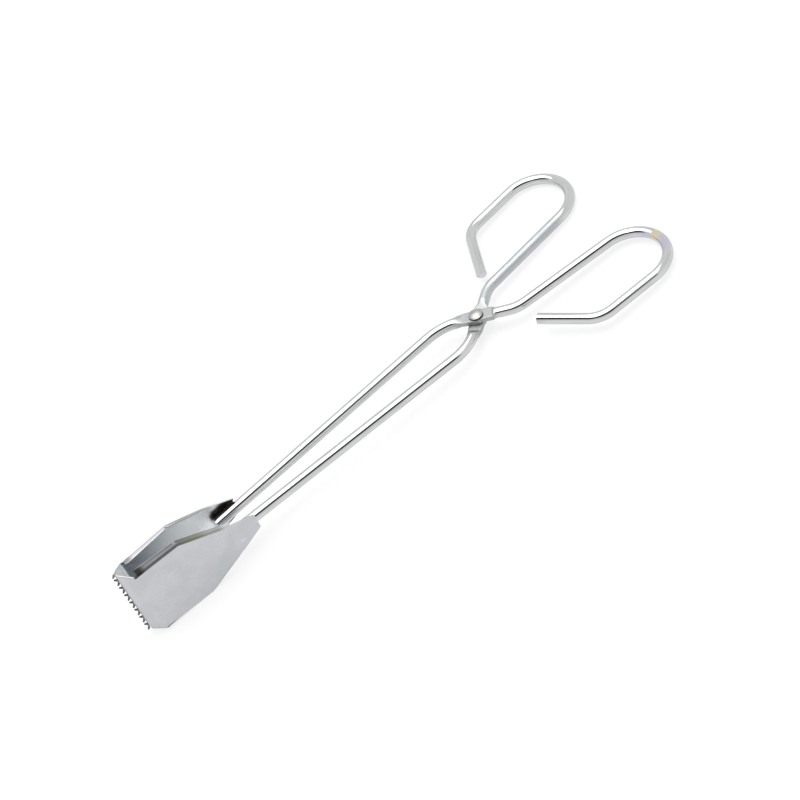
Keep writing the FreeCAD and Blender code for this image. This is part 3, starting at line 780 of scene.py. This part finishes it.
def makeJaw(side, place, body, tree):
    size, own = jawSize, jawSize[side]
    obj = newObject("blank", jawSheet(size, own))
    useTree(obj, tree, {
        "Tooth Count": float(own["teeth"]), "Tooth Pitch": size["toothPitch"],
        "Tooth Root": size["toothRoot"], "Tooth Tip": size["toothTip"], "Tooth Reach": size["toothReach"],
        "Lip Angle": size["lipAngle"], "Lip Middle": own["lipShift"], "Finish": sheetFinish,
    })
    obj.vertex_groups.new(name="cut")
    obj.vertex_groups.new(name="outer")
    wall = obj.modifiers.new("sheet", "SOLIDIFY")
    wall.rim_vertex_group = "cut"
    wall.shell_vertex_group = "outer"
    wall.thickness = size["sheet"]
    wall.offset = -1.0
    wall.use_even_offset = True
    soft = obj.modifiers.new("edges", "BEVEL")
    soft.width = size["edgeRound"]
    soft.segments = 2
    soft.limit_method = "ANGLE"
    soft.angle_limit = math.radians(size["edgeAngle"])
    mesh = bakeMesh(obj, side + "Jaw")
    outer = size["rod"] + size["sheet"]
    dimpleX, dimpleZ = size["dimpleAt"]
    for v in mesh.vertices:
        x, y, z = v.co
        onPlate = y > size["rod"] - 0.4
        if onPlate and y < outer - 0.3:  # inner face: pressed lines fanning from the rod's end
            press = sum(pressLine(x, z, start, end, size["pressWidth"]) for start, end in pressLines)
            v.co.y += size["pressDepth"] * min(1.0, press)
        dent = math.hypot(x - dimpleX, z - dimpleZ) / size["dimpleRadius"]
        if onPlate and dent < 1:
            v.co.y -= size["dimpleDepth"] * (1 - dent * dent) ** 2
    for index, label in ((0, "cutEdge"), (1, "outerFace")):  # the two vertex groups, as the finish reads them
        weights = [max((g.weight for g in v.groups if g.group == index), default=0.0) for v in mesh.vertices]
        mesh.attributes.new(label, "FLOAT", "POINT").data.foreach_set("value", weights)
    places = [c for v in mesh.vertices for c in v.co]
    mesh.attributes.new("sheetPlace", "FLOAT_VECTOR", "POINT").data.foreach_set("vector", places)
    finishPiece(mesh, side + "Jaw", body, side + "_arm_jaw", sheetFinish, place, size["crisp"])


# the socket sits on the last of the rod, so its place follows from the shank's bend
lap, slope = math.radians(rodSize["lapAngle"]), math.radians(rodSize["jawAngle"])
bendAt = Vector((math.cos(lap), math.sin(lap), 0)) * rodSize["lapToShank"]
bendAt += Vector((math.sin(lap), -math.cos(lap), 0)) * rodSize["shankBend"]
shankAt = bendAt + Vector((math.sin(slope), math.cos(slope), 0)) * rodSize["shankBend"]
jawAt = shankAt + Vector((math.cos(slope), -math.sin(slope), 0)) * (rodSize["shankLength"] - jawSize["grip"])
jawPlace = Matrix.Translation(jawAt + Vector((0, 0, -rodSize["drop"]))) @ Matrix.Rotation(-slope, 4, "Z")
teethTree = makeTeethTree()
makeJaw("bottom", toPivot @ jawPlace, "bottom_half", teethTree)
makeJaw("top", toPivot @ turnOver @ jawPlace, "top_half", teethTree)


# a turned profile, domed above and closed over below
def makeRivet(size):
    top = size["gap"] / 2 + size["lap"]
    low = -1.5 * size["gap"] - size["lap"]
    rise = size["headHeight"] - size["rim"]
    ballTop = (size["headRadius"] ** 2 + rise ** 2) / (2 * rise)
    ballLow = (size["tailRadius"] ** 2 + size["tailHeight"] ** 2) / (2 * size["tailHeight"])
    profile = []
    soft = size["shoulder"]  # round between dome and rim
    for i in range(15):
        r = (size["headRadius"] - soft * 0.6) * math.sin(i / 14 * math.pi / 2)
        profile.append((r, top + size["headHeight"] - ballTop + math.sqrt(ballTop ** 2 - r * r)))
    edgeR, edgeZ = profile[-1]
    for i in range(1, 6):
        a = i / 5 * math.pi / 2
        profile.append((edgeR + (size["headRadius"] - edgeR) * math.sin(a), edgeZ - soft * (1 - math.cos(a))))
    above, below = top + size["seat"], low - size["seat"]
    profile += [(size["headRadius"], top + 0.2), (size["headRadius"] - 0.25, above), (size["shank"], above)]
    profile += [(size["shank"], below), (size["tailRadius"] - 0.1, below)]
    for i in range(12, -1, -1):  # closed head with a shallow punch mark in its middle
        r = size["tailRadius"] * math.sin(i / 12 * math.pi / 2)
        level = low - size["tailHeight"] + ballLow - math.sqrt(ballLow ** 2 - r * r)
        punch = size["punchDepth"] * max(0.0, 1 - (r / size["punchRadius"]) ** 2)
        profile.append((r, min(level + punch, low - 0.12)))
    sides = size["sides"]
    vertices, faces = [(0, 0, profile[0][1])], []
    for r, z in profile[1:-1]:
        for k in range(sides):
            a = 2 * math.pi * k / sides
            vertices.append((r * math.cos(a), r * math.sin(a), z))
    vertices.append((0, 0, profile[-1][1]))
    last = len(vertices) - 1
    for k in range(sides):
        n = (k + 1) % sides
        faces.append((0, 1 + k, 1 + n))
        for row in range(len(profile) - 3):
            a, c = 1 + row * sides, 1 + (row + 1) * sides
            faces.append((a + k, c + k, c + n, a + n))
        tail = 1 + (len(profile) - 3) * sides
        faces.append((tail + n, tail + k, last))
    mesh = bpy.data.meshes.new("pivotRivet")
    mesh.from_pydata(vertices, [], faces)
    finishPiece(mesh, "pivotRivet", "top_half", "pivot_rivet", rivetFinish, toPivot,
                size["crisp"])


makeRivet(rivetSize)


studio = {
    "floorTone": 0.26, "floorGlow": 0.735, "floorRough": 0.9, "floorSize": 6.0,  # m
    "floorTilt": 3.34, "floorAt": (0.1394, 0.0002),
    "sky": 1.0, "darkLevel": 0.05,  # one dark band in a white tent
    "darkLow": (0.30, 0.60), "darkHigh": (0.82, 0.905),  # how high it starts and ends, softly
    "darkFacing": (0.64, 0.77), "darkEdge": (0.30, 0.50),
    "lampPower": 14.6, "lampSize": 1.4, "lampAway": 1.3, "lampLean": 6.0,
    "eye": (0.27932, 0.87176, 0.89262), "aim": (42.9069, 19.0515, 142.2965),
    "lens": 103.54, "sensor": 36.0, "shift": (-0.0007, 0.0007),
}


def makeStudio(look):
    finish, b, shader = newFinish("paleFloor")
    shader.inputs["Base Color"].default_value = (look["floorTone"],) * 3 + (1,)
    shader.inputs["Roughness"].default_value = look["floorRough"]
    shader.inputs["Specular IOR Level"].default_value = 0.0
    shader.inputs["Emission Color"].default_value = (1, 1, 1, 1)  # lit from below, like a light table
    shader.inputs["Emission Strength"].default_value = look["floorGlow"]
    half = look["floorSize"] / 2
    mesh = bpy.data.meshes.new("floor")
    corners = [(-half, -half, 0), (half, -half, 0), (half, half, 0), (-half, half, 0)]
    mesh.from_pydata(corners, [], [(0, 1, 2, 3)])
    x, z = look["floorAt"]  # the tongs lie on the jaws' lower corners and the loops
    mesh.transform(Matrix.Translation((x, 0, z)) @ Matrix.Rotation(math.radians(look["floorTilt"]), 4, "Y"))
    mesh.materials.append(finish)
    newObject("floor", mesh)

    world = bpy.data.worlds.new("whiteTent")
    scene.world = world
    world.use_nodes = True
    world.node_tree.nodes.clear()
    b = Bench(world.node_tree)
    x, y, z = b.split(b.add("ShaderNodeTexCoord", {}, {}, "Generated"))
    plan = b.math("SQRT", x * x + y * y) + 0.0001
    facing = (x * look["darkFacing"][0] + y * look["darkFacing"][1]) / plan
    dark = b.ramp(z, *look["darkLow"]) * (1 - b.ramp(z, *look["darkHigh"]))
    dark = dark * b.ramp(facing, *look["darkEdge"])
    level = look["sky"] * (1 - dark * (1 - look["darkLevel"]))
    shade = b.add("ShaderNodeBackground", {}, {"Color": (1, 1, 1, 1), "Strength": level})
    b.add("ShaderNodeOutputWorld", {}, {"Surface": shade})

    lamp = bpy.data.lights.new("overhead", "AREA")
    lamp.shape = "SQUARE"
    lamp.size = look["lampSize"]
    lamp.energy = look["lampPower"]
    obj = newObject("overhead", lamp)
    lean = math.radians(look["lampLean"])
    away = Vector((0, -math.sin(lean), math.cos(lean))) * look["lampAway"]
    obj.location = pivotAt + away
    obj.rotation_euler = away.to_track_quat("Z", "Y").to_euler()

    camera = bpy.data.cameras.new("camera")
    camera.lens = look["lens"]
    camera.sensor_width = look["sensor"]
    camera.shift_x, camera.shift_y = look["shift"]
    eye = newObject("camera", camera)
    eye.location = look["eye"]
    eye.rotation_euler = [math.radians(a) for a in look["aim"]]
    scene.camera = eye
    scene.view_settings.view_transform = "Standard"


makeStudio(studio)
print("studio lit")
